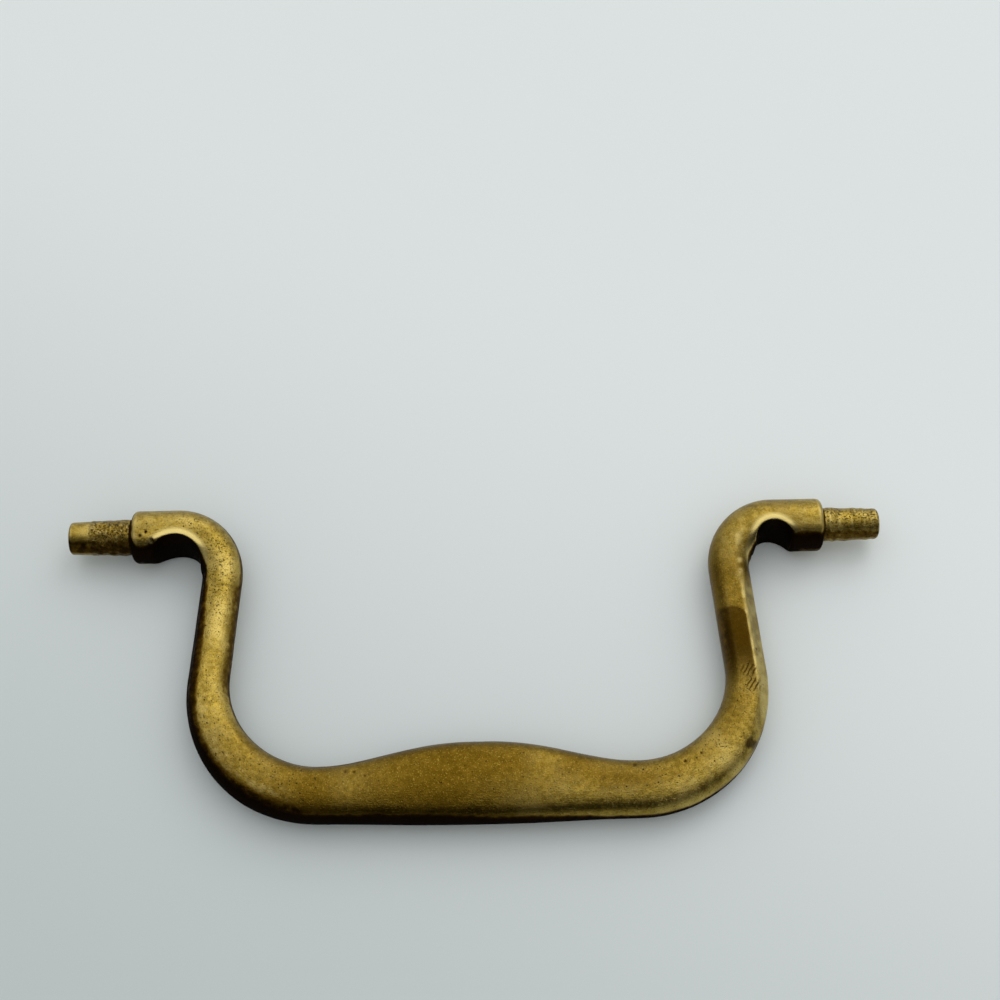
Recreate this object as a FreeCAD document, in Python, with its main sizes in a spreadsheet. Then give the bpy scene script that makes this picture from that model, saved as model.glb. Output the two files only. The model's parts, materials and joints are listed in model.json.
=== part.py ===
import FreeCAD, Part
import math
import os

import Sketcher

# Swan-neck bail of a drawer pull: one brass casting with two pins, two collars, two curved necks,
# splayed arms and a grip that swells on the finger side. Millimetres and degrees.
# It is drawn with the pin axis on X and the grip towards -Y, then set down on z = 0 as it lies:
# on its two collars and, leaning back a little, on the middle of its grip.

SIZES = [
    ("shoulder_span", 90.8, "distance between the two collar end faces"),
    ("pin_length", 7.6, "pin, collar end face to tip"),
    ("pin_diameter", 4.6, "round journal of the pin"),
    ("nose_length", 2.4, "tapered end of the pin"),
    ("nose_diameter", 4.1, "pin diameter where the taper ends"),
    ("nose_round", 0.5, "rounding of the tip edge"),
    ("collar_diameter", 7.0, "round collar behind each pin"),
    ("collar_length", 6.5, "collar, end face to the start of the neck curve"),
    ("collar_round", 0.9, "rounding of the collar edge at the end face"),
    ("neck_radius", 6.0, "centre line radius of the neck curve"),
    ("splay_angle", 4.2, "lean of each arm outwards"),
    ("arm_width", 5.2, "section across the arm"),
    ("arm_thickness", 5.0, "section height of the arm"),
    ("bend_radius", 14.3, "centre line radius of the lower bend"),
    ("grip_drop", 35.3, "pin axis to the centre line at the grip ends"),
    ("grip_end_width", 7.15, "section across the grip ends"),
    ("grip_end_thickness", 5.2, "section height at the grip ends"),
    ("grip_width", 10.35, "section across the middle of the grip"),
    ("grip_thickness", 5.6, "section height at the middle of the grip"),
    ("swell_shift", 1.2, "how far the middle section moves to the finger side"),
    ("crown_angle", 72.0, "slope at which the crown of a section turns into its side"),
    ("notch_station", 6.5, "collar end face to the notch centre, along the pin axis"),
    ("left_notch_radius", 3.2, "round notch filed under the left neck"),
    ("left_notch_crest", 1.65, "pin axis down to the top of the left notch"),
    ("right_notch_radius", 2.4, "round notch filed under the right neck"),
    ("right_notch_crest", 0.6, "pin axis down to the top of the right notch"),
    ("notch_flare", 1.1, "opening out of a notch towards the upper surface"),
    ("notch_overrun", 0.5, "how far a notch is cut beyond the collar's surface"),
]
VALUE = {name: value for name, value, note in SIZES}

os.makedirs("parts", exist_ok=True)
doc = FreeCAD.newDocument("bail")
sheet = doc.addObject("Spreadsheet::Sheet", "Sizes")
for row, (name, value, note) in enumerate(SIZES, start=1):
    sheet.set(f"A{row}", name)
    sheet.set(f"B{row}", str(value))
    sheet.set(f"C{row}", note)
    sheet.setAlias(f"B{row}", name)
doc.recompute()

body = doc.addObject("PartDesign::Body", "bail")
PLANES = {feature.Role: feature for feature in body.Origin.OriginFeatures}
X_AXIS, Y_AXIS = range(-1, -3, -1)
START, END, CENTRE = range(1, 4)
ORIGIN = (X_AXIS, START)


def point(x, y):
    """Sketch point."""
    return FreeCAD.Vector(x, y, 0.0)


def mirrored(spot):
    """Sketch point on the other side of the sketch's vertical axis."""
    return point(-spot.x, spot.y)


def on_circle(centre, radius, angle):
    """Sketch point on a circle, angle in degrees."""
    turn = math.radians(angle)
    return centre + point(math.cos(turn), math.sin(turn)) * radius


def new_sketch(name, role):
    """Empty sketch on one of the body's own planes."""
    sketch = body.newObject("Sketcher::SketchObject", name)
    sketch.AttachmentSupport = [(PLANES[role], "")]
    sketch.MapMode = "FlatFace"
    return sketch


def constrain(sketch, *terms):
    """Constraint without a size."""
    sketch.addConstraint(Sketcher.Constraint(*terms))


def size(sketch, name, terms, value, expression):
    """Constraint with a size bound to the sheet."""
    index = sketch.addConstraint(Sketcher.Constraint(*terms, value))
    sketch.renameConstraint(index, name)
    sketch.setExpression(f"Constraints.{name}", expression)


# Centre line: neck curve, arm and bend on each side, joined by the straight grip line.
NECK_R, ARM_R, BEND_R, GRIP, BEND_L, ARM_L, NECK_L = range(7)
spine = new_sketch("CentreLine", "XY_Plane")
lean = VALUE["splay_angle"]
neck_top = point(VALUE["shoulder_span"] / 2 - VALUE["collar_length"], 0.0)
neck_centre = neck_top - point(0.0, VALUE["neck_radius"])
neck_mid = on_circle(neck_centre, VALUE["neck_radius"], 135 + lean / 2)
arm_top = on_circle(neck_centre, VALUE["neck_radius"], 180 + lean)
bend_height = VALUE["bend_radius"] - VALUE["grip_drop"]
arm_fall = arm_top.y - bend_height - VALUE["bend_radius"] * math.sin(math.radians(lean))
arm_foot = arm_top + point(arm_fall * math.tan(math.radians(lean)), -arm_fall)
bend_centre = on_circle(arm_foot, VALUE["bend_radius"], 180 + lean)
bend_mid = on_circle(bend_centre, VALUE["bend_radius"], lean / 2 - 45)
grip_end = bend_centre - point(0.0, VALUE["bend_radius"])
for edge in (
    Part.Arc(neck_top, neck_mid, arm_top),
    Part.LineSegment(arm_foot, arm_top),
    Part.Arc(arm_foot, bend_mid, grip_end),
    Part.LineSegment(grip_end, mirrored(grip_end)),
    Part.Arc(mirrored(grip_end), mirrored(bend_mid), mirrored(arm_foot)),
    Part.LineSegment(mirrored(arm_foot), mirrored(arm_top)),
    Part.Arc(mirrored(arm_top), mirrored(neck_mid), mirrored(neck_top)),
):
    spine.addGeometry(edge, False)
for joint in (
    (NECK_R, END, ARM_R, END),
    (ARM_R, START, BEND_R, END),
    (BEND_R, START, GRIP, START),
    (GRIP, END, BEND_L, END),
    (BEND_L, START, ARM_L, START),
    (ARM_L, END, NECK_L, START),
):
    constrain(spine, "Tangent", *joint)
constrain(spine, "PointOnObject", NECK_R, START, X_AXIS)
constrain(spine, "Vertical", NECK_R, START, NECK_R, CENTRE)
constrain(spine, "Symmetric", NECK_R, START, NECK_L, END, Y_AXIS)
constrain(spine, "Vertical", NECK_L, END, NECK_L, CENTRE)
constrain(spine, "Equal", NECK_R, NECK_L)
constrain(spine, "Equal", BEND_R, BEND_L)
constrain(spine, "Symmetric", GRIP, START, GRIP, END, Y_AXIS)
NECK_X = "Sizes.shoulder_span / 2 - Sizes.collar_length"
size(spine, "neck_start", ("DistanceX", *ORIGIN, NECK_R, START), neck_top.x, NECK_X)
size(spine, "neck_radius", ("Radius", NECK_R), VALUE["neck_radius"], "Sizes.neck_radius")
size(spine, "arm_lean", ("Angle", ARM_R), math.radians(90 + lean), "(90 + Sizes.splay_angle) * 1 deg")
size(spine, "bend_radius", ("Radius", BEND_R), VALUE["bend_radius"], "Sizes.bend_radius")
size(spine, "grip_drop", ("DistanceY", GRIP, START, *ORIGIN), VALUE["grip_drop"], "Sizes.grip_drop")
doc.recompute()


def blend(first, last, share):
    """Value and expression of a size that lies between two sizes of the sheet."""
    value = VALUE[first] + (VALUE[last] - VALUE[first]) * share
    return value, f"(Sizes.{first} + (Sizes.{last} - Sizes.{first}) * {share})"


def oval(name, edge, along, width, thickness, shift):
    """Four-arc oval across the centre line: two flat crowns joined to two rounder sides.

    width and thickness are blended sizes; shift is the share of the swell's move to the finger side.
    """
    sketch = body.newObject("Sketcher::SketchObject", name)
    sketch.AttachmentSupport = [(spine, f"Edge{edge + 1}")]
    sketch.MapMode = "NormalToEdge"
    sketch.MapPathParameter = along
    sketch.setExpression("AttachmentOffset.Base.x", f"Sizes.swell_shift * {shift}")
    half_width = width[0] / 2
    half_height = thickness[0] / 2
    turn = math.radians(VALUE["crown_angle"])
    crown_share = math.tan(turn / 2)
    side_share = math.tan(math.radians(45) - turn / 2)
    crown = (half_width - half_height * crown_share) / (1 - crown_share)
    side = (half_height - half_width * side_share) / (1 - side_share)
    upper = point(crown * math.cos(turn), side * math.sin(turn))
    lower = point(upper.x, -upper.y)
    right, top, left, bottom = range(4)
    for arc in (
        Part.Arc(lower, point(half_width, 0.0), upper),
        Part.Arc(upper, point(0.0, half_height), mirrored(upper)),
        Part.Arc(mirrored(upper), point(-half_width, 0.0), mirrored(lower)),
        Part.Arc(mirrored(lower), point(0.0, -half_height), lower),
    ):
        sketch.addGeometry(arc, False)
    for first, second in ((right, top), (top, left), (left, bottom), (bottom, right)):
        constrain(sketch, "Coincident", first, END, second, START)
    constrain(sketch, "Symmetric", top, START, top, END, Y_AXIS)
    constrain(sketch, "Symmetric", right, START, right, END, X_AXIS)
    constrain(sketch, "Symmetric", left, START, left, END, X_AXIS)
    constrain(sketch, "PointOnObject", right, CENTRE, X_AXIS)
    constrain(sketch, "PointOnObject", left, CENTRE, X_AXIS)
    constrain(sketch, "PointOnObject", top, CENTRE, Y_AXIS)
    constrain(sketch, "Equal", right, left)
    constrain(sketch, "Equal", top, bottom)
    crown_tan = "tan(Sizes.crown_angle / 2)"
    side_tan = "tan(45 - Sizes.crown_angle / 2)"
    crown_size = f"({width[1]} - {thickness[1]} * {crown_tan}) / 2 / (1 - {crown_tan})"
    side_size = f"({thickness[1]} - {width[1]} * {side_tan}) / 2 / (1 - {side_tan})"
    joint_x = f"{crown_size} * cos(Sizes.crown_angle)"
    joint_y = f"{side_size} * sin(Sizes.crown_angle)"
    size(sketch, "side_radius", ("Radius", right), side, side_size)
    size(sketch, "crown_radius", ("Radius", top), crown, crown_size)
    size(sketch, "joint_x", ("DistanceX", *ORIGIN, right, END), upper.x, joint_x)
    size(sketch, "joint_y", ("DistanceY", *ORIGIN, right, END), upper.y, joint_y)
    return sketch


# Sections from the right collar round to the left one. Each run blends one section into the next:
# edge, place along it, and the share of the way to the second section.
COLLAR = ("collar_diameter", "collar_diameter")
ARM = ("arm_width", "arm_thickness")
GRIP_END = ("grip_end_width", "grip_end_thickness")
MIDDLE = ("grip_width", "grip_thickness")
NECK_SHARES = ((0.0, 0.0), (0.25, 0.16), (0.5, 0.5), (0.75, 0.84), (1.0, 1.0))
BEND_SHARES = ((0.0, 0.0), (0.25, 0.34), (0.5, 0.72), (0.75, 0.93), (1.0, 1.0))
SWELL_SHARES = ((0.125, 0.19), (0.25, 0.6), (0.375, 0.92), (0.5, 1.0))
LEFT_SWELL = SWELL_SHARES[-2::-1]
stations = [("RightNeck", NECK_R, along, COLLAR, ARM, share, 0.0) for along, share in NECK_SHARES]
stations += [("RightArm", ARM_R, 0.5, ARM, ARM, 0.0, 0.0)]
stations += [("RightBend", BEND_R, along, ARM, GRIP_END, share, 0.0) for along, share in BEND_SHARES]
stations += [("RightGrip", GRIP, along, GRIP_END, MIDDLE, share, share) for along, share in SWELL_SHARES]
stations += [("LeftGrip", GRIP, 1 - along, GRIP_END, MIDDLE, share, share) for along, share in LEFT_SWELL]
stations += [("LeftBend", BEND_L, 1 - along, ARM, GRIP_END, share, 0.0) for along, share in BEND_SHARES[::-1]]
stations += [("LeftArm", ARM_L, 0.5, ARM, ARM, 0.0, 0.0)]
stations += [("LeftNeck", NECK_L, 1 - along, COLLAR, ARM, share, 0.0) for along, share in NECK_SHARES[::-1]]
sections = []
for name, edge, along, first, last, share, shift in stations:
    width = blend(first[0], last[0], share)
    thickness = blend(first[1], last[1], share)
    sections.append(oval(name, edge, along, width, thickness, shift))
doc.recompute()

# The casting itself: one smooth skin through every section, from collar to collar.
skin = body.newObject("PartDesign::AdditiveLoft", "SwanNeckLoft")
skin.Profile = sections[0]
skin.Sections = sections[1:]
skin.Ruled = False
skin.Closed = False
doc.recompute()

# Collar and pin on the right, turned about the pin axis: flat end face, journal and tapered nose.
turned = new_sketch("CollarAndPin", "XY_Plane")
face_x = VALUE["shoulder_span"] / 2
tip_x = face_x + VALUE["pin_length"]
taper_x = tip_x - VALUE["nose_length"]
collar_r = VALUE["collar_diameter"] / 2
pin_r = VALUE["pin_diameter"] / 2
nose_r = VALUE["nose_diameter"] / 2
tip_centre = point(tip_x, nose_r) - point(1.0, 1.0) * VALUE["nose_round"]
rim_centre = point(face_x, collar_r) - point(1.0, 1.0) * VALUE["collar_round"]
tip_round = [on_circle(tip_centre, VALUE["nose_round"], angle) for angle in (0, 45, 90)]
rim_round = [on_circle(rim_centre, VALUE["collar_round"], angle) for angle in (0, 45, 90)]
AXIS, TIP, TIP_ROUND, TAPER, JOURNAL, FACE, RIM_ROUND, RIM, BACK = range(9)
for edge in (
    Part.LineSegment(neck_top, point(tip_x, 0.0)),
    Part.LineSegment(point(tip_x, 0.0), tip_round[0]),
    Part.Arc(*tip_round),
    Part.LineSegment(tip_round[2], point(taper_x, pin_r)),
    Part.LineSegment(point(taper_x, pin_r), point(face_x, pin_r)),
    Part.LineSegment(point(face_x, pin_r), rim_round[0]),
    Part.Arc(*rim_round),
    Part.LineSegment(rim_round[2], point(neck_top.x, collar_r)),
    Part.LineSegment(point(neck_top.x, collar_r), neck_top),
):
    turned.addGeometry(edge, False)
for edge in range(AXIS, BACK):
    constrain(turned, "Coincident", edge, END, edge + 1, START)
constrain(turned, "Coincident", BACK, END, AXIS, START)
constrain(turned, "PointOnObject", AXIS, START, X_AXIS)
for edge in (AXIS, JOURNAL, RIM):
    constrain(turned, "Horizontal", edge)
for edge in (TIP, FACE, BACK):
    constrain(turned, "Vertical", edge)
for edge in (TIP_ROUND, RIM_ROUND):
    constrain(turned, "Horizontal", edge, START, edge, CENTRE)
    constrain(turned, "Vertical", edge, END, edge, CENTRE)
FACE_X = "Sizes.shoulder_span / 2"
TIP_X = "Sizes.shoulder_span / 2 + Sizes.pin_length"
size(turned, "neck_x", ("DistanceX", *ORIGIN, AXIS, START), neck_top.x, NECK_X)
size(turned, "face_x", ("DistanceX", *ORIGIN, FACE, START), face_x, FACE_X)
size(turned, "tip_x", ("DistanceX", *ORIGIN, TIP, START), tip_x, TIP_X)
size(turned, "taper_x", ("DistanceX", *ORIGIN, JOURNAL, START), taper_x, f"{TIP_X} - Sizes.nose_length")
size(turned, "collar_r", ("DistanceY", *ORIGIN, RIM, START), collar_r, "Sizes.collar_diameter / 2")
size(turned, "pin_r", ("DistanceY", *ORIGIN, JOURNAL, START), pin_r, "Sizes.pin_diameter / 2")
size(turned, "nose_r", ("DistanceY", *ORIGIN, TAPER, START), nose_r, "Sizes.nose_diameter / 2")
size(turned, "nose_round", ("Radius", TIP_ROUND), VALUE["nose_round"], "Sizes.nose_round")
size(turned, "collar_round", ("Radius", RIM_ROUND), VALUE["collar_round"], "Sizes.collar_round")
pin = body.newObject("PartDesign::Revolution", "RightPin")
pin.Profile = turned
pin.ReferenceAxis = (turned, ["H_Axis"])
pin.Angle = 360.0
doc.recompute()

# The same collar and pin on the left.
pins = body.newObject("PartDesign::Mirrored", "LeftPin")
pins.Originals = [pin]
pins.MirrorPlane = (PLANES["YZ_Plane"], [""])
body.Tip = pins
doc.recompute()


def notch(name, side, radius, crest):
    """Round notch under one neck, cut about an upright axis and opening out towards the top."""
    sketch = new_sketch(f"{name}Profile", "XZ_Plane")
    sketch.setExpression("AttachmentOffset.Base.x", f"{side} * ({FACE_X} - Sizes.notch_station)")
    sketch.setExpression("AttachmentOffset.Base.z", f"Sizes.{crest} + Sizes.{radius}")
    narrow = VALUE[radius]
    wide = narrow + VALUE["notch_flare"]
    height = VALUE["collar_diameter"] / 2 + VALUE["notch_overrun"]
    mouth = (height**2 + VALUE["notch_flare"] ** 2) / 2 / VALUE["notch_flare"]
    turn = math.degrees(math.asin(height / mouth) / 2)
    halfway = on_circle(point(narrow + mouth, 0.0), mouth, 180 - turn)
    floor, wall, flare, roof, axis = range(5)
    for edge in (
        Part.LineSegment(point(0.0, -height), point(narrow, -height)),
        Part.LineSegment(point(narrow, -height), point(narrow, 0.0)),
        Part.Arc(point(narrow, 0.0), halfway, point(wide, height)),
        Part.LineSegment(point(wide, height), point(0.0, height)),
        Part.LineSegment(point(0.0, height), point(0.0, -height)),
    ):
        sketch.addGeometry(edge, False)
    constrain(sketch, "Coincident", floor, END, wall, START)
    constrain(sketch, "Tangent", wall, END, flare, END)
    constrain(sketch, "Coincident", flare, START, roof, START)
    constrain(sketch, "Coincident", roof, END, axis, START)
    constrain(sketch, "Coincident", axis, END, floor, START)
    constrain(sketch, "Horizontal", floor)
    constrain(sketch, "Vertical", wall)
    constrain(sketch, "Horizontal", roof)
    constrain(sketch, "Symmetric", axis, START, axis, END, *ORIGIN)
    constrain(sketch, "PointOnObject", axis, START, Y_AXIS)
    constrain(sketch, "PointOnObject", flare, CENTRE, X_AXIS)
    height_size = "Sizes.collar_diameter / 2 + Sizes.notch_overrun"
    size(sketch, "narrow", ("DistanceX", *ORIGIN, wall, START), narrow, f"Sizes.{radius}")
    size(sketch, "wide", ("DistanceX", *ORIGIN, flare, START), wide, f"Sizes.{radius} + Sizes.notch_flare")
    size(sketch, "height", ("DistanceY", *ORIGIN, axis, START), height, height_size)
    cut = body.newObject("PartDesign::Groove", name)
    cut.Profile = sketch
    cut.ReferenceAxis = (sketch, ["V_Axis"])
    cut.Angle = 360.0
    return cut


before = body.Shape.Volume
left_notch = notch("LeftNotch", -1, "left_notch_radius", "left_notch_crest")
right_notch = notch("RightNotch", 1, "right_notch_radius", "right_notch_crest")
body.Tip = right_notch

# Set down: collars and grip on z = 0, middle of the outline over the origin.
GRIP_CENTRE = "(Sizes.grip_drop - Sizes.swell_shift)"
LEAN = f"asin((Sizes.collar_diameter - Sizes.grip_thickness) / 2 / {GRIP_CENTRE})"
OUTLINE = f"{GRIP_CENTRE} * cos({LEAN}) + (Sizes.grip_width - Sizes.collar_diameter) / 2"
for axis, share in (("x", 1), ("y", 0), ("z", 0)):
    body.setExpression(f"Placement.Rotation.Axis.{axis}", str(share))
body.setExpression("Placement.Rotation.Angle", LEAN)
body.setExpression("Placement.Base.y", f"({OUTLINE}) / 2")
body.setExpression("Placement.Base.z", "Sizes.collar_diameter / 2")
doc.recompute()

for item in doc.Objects:
    if "Invalid" in item.State or "Error" in item.State:
        raise RuntimeError(f"{item.Name} is not built")
for item in (skin, pin, pins, left_notch, right_notch, body):
    if item.Shape.isNull() or not item.Shape.isValid():
        raise RuntimeError(f"{item.Name} has no valid shape")
if body.Shape.Volume >= before:
    raise RuntimeError("the notches cut nothing")
if len(body.Shape.Solids) != 1:
    raise RuntimeError("the bail is not one solid")
body.Shape.exportStep("parts/bail.step")
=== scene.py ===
"""Swan-neck bail of a drawer pull: the worn look of its cast brass, on a pale tabletop.

Sizes are in millimetres in the bail's drawing frame (pin axis on X, grip towards -Y) and go to metres in the
row frame when the mesh is made.
"""

import json
import logging
import math
from dataclasses import dataclass, field
from enum import Enum
from functools import partial
from typing import ClassVar

import bpy
import numpy as np
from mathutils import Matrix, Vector


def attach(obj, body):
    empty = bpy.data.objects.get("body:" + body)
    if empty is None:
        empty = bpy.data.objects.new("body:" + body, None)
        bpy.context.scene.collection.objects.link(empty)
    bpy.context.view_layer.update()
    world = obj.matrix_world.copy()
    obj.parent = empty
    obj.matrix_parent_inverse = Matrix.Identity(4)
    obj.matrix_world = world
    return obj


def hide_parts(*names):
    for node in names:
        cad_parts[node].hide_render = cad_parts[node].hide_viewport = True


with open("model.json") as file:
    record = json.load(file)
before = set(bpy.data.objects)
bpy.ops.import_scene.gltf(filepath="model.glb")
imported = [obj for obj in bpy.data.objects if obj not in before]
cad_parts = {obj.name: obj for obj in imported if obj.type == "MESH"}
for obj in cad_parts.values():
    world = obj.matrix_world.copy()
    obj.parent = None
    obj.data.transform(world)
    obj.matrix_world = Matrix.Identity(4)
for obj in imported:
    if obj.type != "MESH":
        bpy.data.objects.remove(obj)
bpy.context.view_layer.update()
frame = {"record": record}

LOG = logging.getLogger("bail")
MM = 0.001
QUARTER = math.pi / 2.0
# Blender's wave texture turns by this angle in one unit at scale 1.
WAVE_TURN = 20.0
# Kinds of nodes that come up often, with their settings.
EASED = ("MapRange", {"interpolation_type": "SMOOTHSTEP"})
EVEN = ("MapRange", {"interpolation_type": "LINEAR"})
BLEND = ("Mix", {"data_type": "RGBA"})
DOT = ("VectorMath", {"operation": "DOT_PRODUCT"})
PLUS, MINUS, TIMES, TIMES_PLUS, LARGER = (
    ("Math", {"operation": name}) for name in ("ADD", "SUBTRACT", "MULTIPLY", "MULTIPLY_ADD", "MAXIMUM"))

Array = np.ndarray
Place = tuple[float, float, float]
Tree = bpy.types.NodeTree
Socket = bpy.types.NodeSocket
Sockets = dict[str, Socket]


class Side(Enum):
    """End of the bail, seen from the grip."""

    LEFT = -1
    RIGHT = 1


class Zone(Enum):
    """Stretch of the bail that a ring belongs to."""

    PIN = 0
    COLLAR = 1
    NECK = 2
    ARM = 3
    BEND = 4
    GRIP = 5


def eased(low: float, high: float, value: Array) -> Array:
    """Eases from 0 at low to 1 at high; low may be the larger one.

    Args:
        low: value where the result is 0.
        high: value where the result is 1.
        value: numbers to ease.

    Returns:
        Eased numbers from 0 to 1.
    """
    share = np.clip((value - low) / (high - low), 0.0, 1.0)
    return share * share * (3.0 - 2.0 * share)


def through(shares: tuple[float, ...], along: Array) -> Array:
    """Smooth curve through evenly spaced shares.

    Args:
        shares: values at even steps from 0 to 1.
        along: places from 0 to 1.

    Returns:
        The curve's value at each place.
    """
    steps = np.linspace(0.0, 1.0, len(shares))
    return np.polyval(np.polyfit(steps, shares, len(shares) - 1), along)


class Grain:
    """Seeded lattice of random numbers that is read as smooth noise in space."""

    SIDE = 48

    def __init__(self, seed: int) -> None:
        """Fills the lattice.

        Args:
            seed: start of the random numbers.
        """
        self.lattice = np.random.default_rng(seed).uniform(-1.0, 1.0, (self.SIDE,) * 3)

    def at(self, points: Array, size: float) -> Array:
        """Reads the noise.

        Args:
            points: places in millimetres, in the last axis.
            size: width of one lump in millimetres.

        Returns:
            One number from -1 to 1 for each place.
        """
        place = points / size
        cell = np.floor(place).astype(int)
        share = place - cell
        share = share * share * (3.0 - 2.0 * share)
        total = np.zeros(points.shape[:-1])
        for corner in np.ndindex(2, 2, 2):
            index = (cell + corner) % self.SIDE
            weight = np.prod(np.where(corner, share, 1.0 - share), axis=-1)
            total += weight * self.lattice[index[..., 0], index[..., 1], index[..., 2]]
        return total


def placed(name: str, data: bpy.types.ID) -> bpy.types.Object:
    """Makes an object and links it to the scene.

    Args:
        name: its name.
        data: its mesh, lamp or lens.

    Returns:
        The object.
    """
    made = bpy.data.objects.new(name, data)
    bpy.context.scene.collection.objects.link(made)
    return made


@dataclass(frozen=True)
class Oval:
    """Section across the bail."""

    width: float
    thickness: float


@dataclass(frozen=True)
class PinEnd:
    """Pin and collar at one end of the bail.

    Face, tip and nose are distances from the middle of the bail. The smooth end of the pin starts at the nose.
    """

    side: Side
    face: float
    tip: float
    tip_radius: float
    tip_round: float
    nose: float
    nose_radius: float
    journal_radius: float
    root_radius: float
    collar_round: float
    nose_step: float = 0.12

    def profile(self, collar_radius: float, neck: float, step: float) -> Array:
        """Outline turned about the pin axis, from the tip to the start of the neck.

        Args:
            collar_radius: radius of the round collar.
            neck: distance from the middle of the bail to the start of the neck.
            step: distance between points.

        Returns:
            Rows of distance from the middle of the bail and radius.
        """
        spokes = [np.array([math.cos(turn), math.sin(turn)]) for turn in np.linspace(0.0, QUARTER, 6)]
        tip_centre = np.array([self.tip - self.tip_round, self.tip_radius - self.tip_round])
        rim_centre = np.array([self.face - self.collar_round, collar_radius - self.collar_round])
        corners = [
            *(np.array([self.tip, share * tip_centre[1]]) for share in (0.15, 0.5)),
            *(tip_centre + self.tip_round * spoke for spoke in spokes),
            np.array([self.nose, self.nose_radius]),
            np.array([self.nose - self.nose_step, self.journal_radius]),
            np.array([self.face, self.root_radius]),
            *(rim_centre + self.collar_round * spoke for spoke in spokes),
            np.array([neck, collar_radius]),
        ]
        filled = [corners[0][None]]
        for first, last in zip(corners[:-1], corners[1:]):
            count = max(1, round(float(np.hypot(*(last - first))) / step))
            filled.append(first + (last - first) * np.linspace(0.0, 1.0, count + 1)[1:, None])
        return np.concatenate(filled)


@dataclass(frozen=True)
class Notch:
    """Round notch filed under one neck, about an upright axis; its wall flares out by flare at flare_height."""

    centre: tuple[float, float]
    radius: float
    flare: float
    flare_height: float

    def wall(self, height: Array) -> Array:
        """Radius of the notch at a height above the middle plane.

        Args:
            height: heights of points.

        Returns:
            The radius at each height.
        """
        mouth = (self.flare_height**2 + self.flare**2) / 2.0 / self.flare
        rise = np.clip(height, 0.0, self.flare_height)
        return self.radius + mouth - np.sqrt(mouth**2 - rise**2)

    def cut(self, points: Array, lateral: Array) -> tuple[Array, Array]:
        """Moves points that lie in the notch back to its wall.

        Args:
            points: rings of places in the drawing frame.
            lateral: sideways direction of each ring, away from the notch.

        Returns:
            The moved places, and how far each one lies inside the wall's circle.
        """
        off = points[..., :2] - np.array(self.centre)
        wall = self.wall(points[..., 2])
        inside = wall - np.hypot(off[..., 0], off[..., 1])
        ahead = np.sum(off * lateral[:, None], axis=-1)
        travel = np.sqrt(np.maximum(ahead**2 - np.sum(off * off, axis=-1) + wall**2, 0.0)) - ahead
        moved = points.copy()
        moved[..., :2] += lateral[:, None] * np.where(inside > 0.0, travel, 0.0)[..., None]
        return moved, inside


@dataclass(frozen=True)
class Facet:
    """Flat that a file left along one arm, from start to stop in Y, facing turn from the inner side."""

    side: Side
    start: float
    stop: float
    ease: float
    turn: float
    depth: float

    def share(self, centre: Array) -> Array:
        """How much of the facet each ring has.

        Args:
            centre: ring centres in plan.

        Returns:
            One number from 0 to 1 for each ring.
        """
        run = eased(self.start + self.ease, self.start, centre[:, 1])
        run = run * eased(self.stop - self.ease, self.stop, centre[:, 1])
        return run * (centre[:, 0] * self.side.value > 0.0)

    def cut(self, side: Array, height: Array, share: Array) -> tuple[Array, Array]:
        """Files the flat into sections.

        Args:
            side: sideways places of the section points, one row for a ring.
            height: heights of the section points.
            share: how much of the facet each ring has.

        Returns:
            The filed sideways places and heights.
        """
        across = side * math.cos(self.turn) + height * math.sin(self.turn)
        limit = across.max(axis=1) - self.depth * share
        excess = np.where(share[:, None] > 0.0, np.maximum(across - limit[:, None], 0.0), 0.0)
        return side - excess * math.cos(self.turn), height - excess * math.sin(self.turn)


@dataclass(frozen=True)
class Spot:
    """Small mark on the upper face, by its place in plan."""

    x: float
    y: float
    radius: float
    depth: float = 0.0

    def share(self, points: Array) -> Array:
        """How much of the mark lies at each place.

        Args:
            points: places in the drawing frame.

        Returns:
            Numbers from 0 to 1.
        """
        away = np.hypot(points[..., 0] - self.x, points[..., 1] - self.y)
        return eased(self.radius, 0.35 * self.radius, away) * (points[..., 2] > 0.0)


@dataclass
class Stations:
    """Rings across the bail from the left tip to the right one."""

    centre: list[Array] = field(default_factory=list)
    lateral: list[Array] = field(default_factory=list)
    half: list[Array] = field(default_factory=list)
    zone: list[Array] = field(default_factory=list)

    def add(self, zone: Array | Zone, centre: Array, lateral: Array, half: Array) -> None:
        """Adds a run of rings.

        Args:
            zone: stretch of the bail, for all rings or for each one.
            centre: ring centres in plan.
            lateral: sideways directions in plan, towards the fingers on the arms and the grip.
            half: half width and half thickness.
        """
        number = zone.value if isinstance(zone, Zone) else zone
        self.centre.append(centre)
        self.lateral.append(np.broadcast_to(lateral, centre.shape))
        self.half.append(np.broadcast_to(half, centre.shape))
        self.zone.append(np.broadcast_to(number, len(centre)))

    def join(self) -> None:
        """Turns the runs into one array of each kind."""
        self.centre, self.lateral = np.concatenate(self.centre), np.concatenate(self.lateral)
        self.half, self.zone = np.concatenate(self.half), np.concatenate(self.zone)

    def run(self) -> Array:
        """Length of the centre line from the left tip to each ring."""
        return np.concatenate([[0.0], np.cumsum(np.hypot(*np.diff(self.centre, axis=0).T))])


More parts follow.
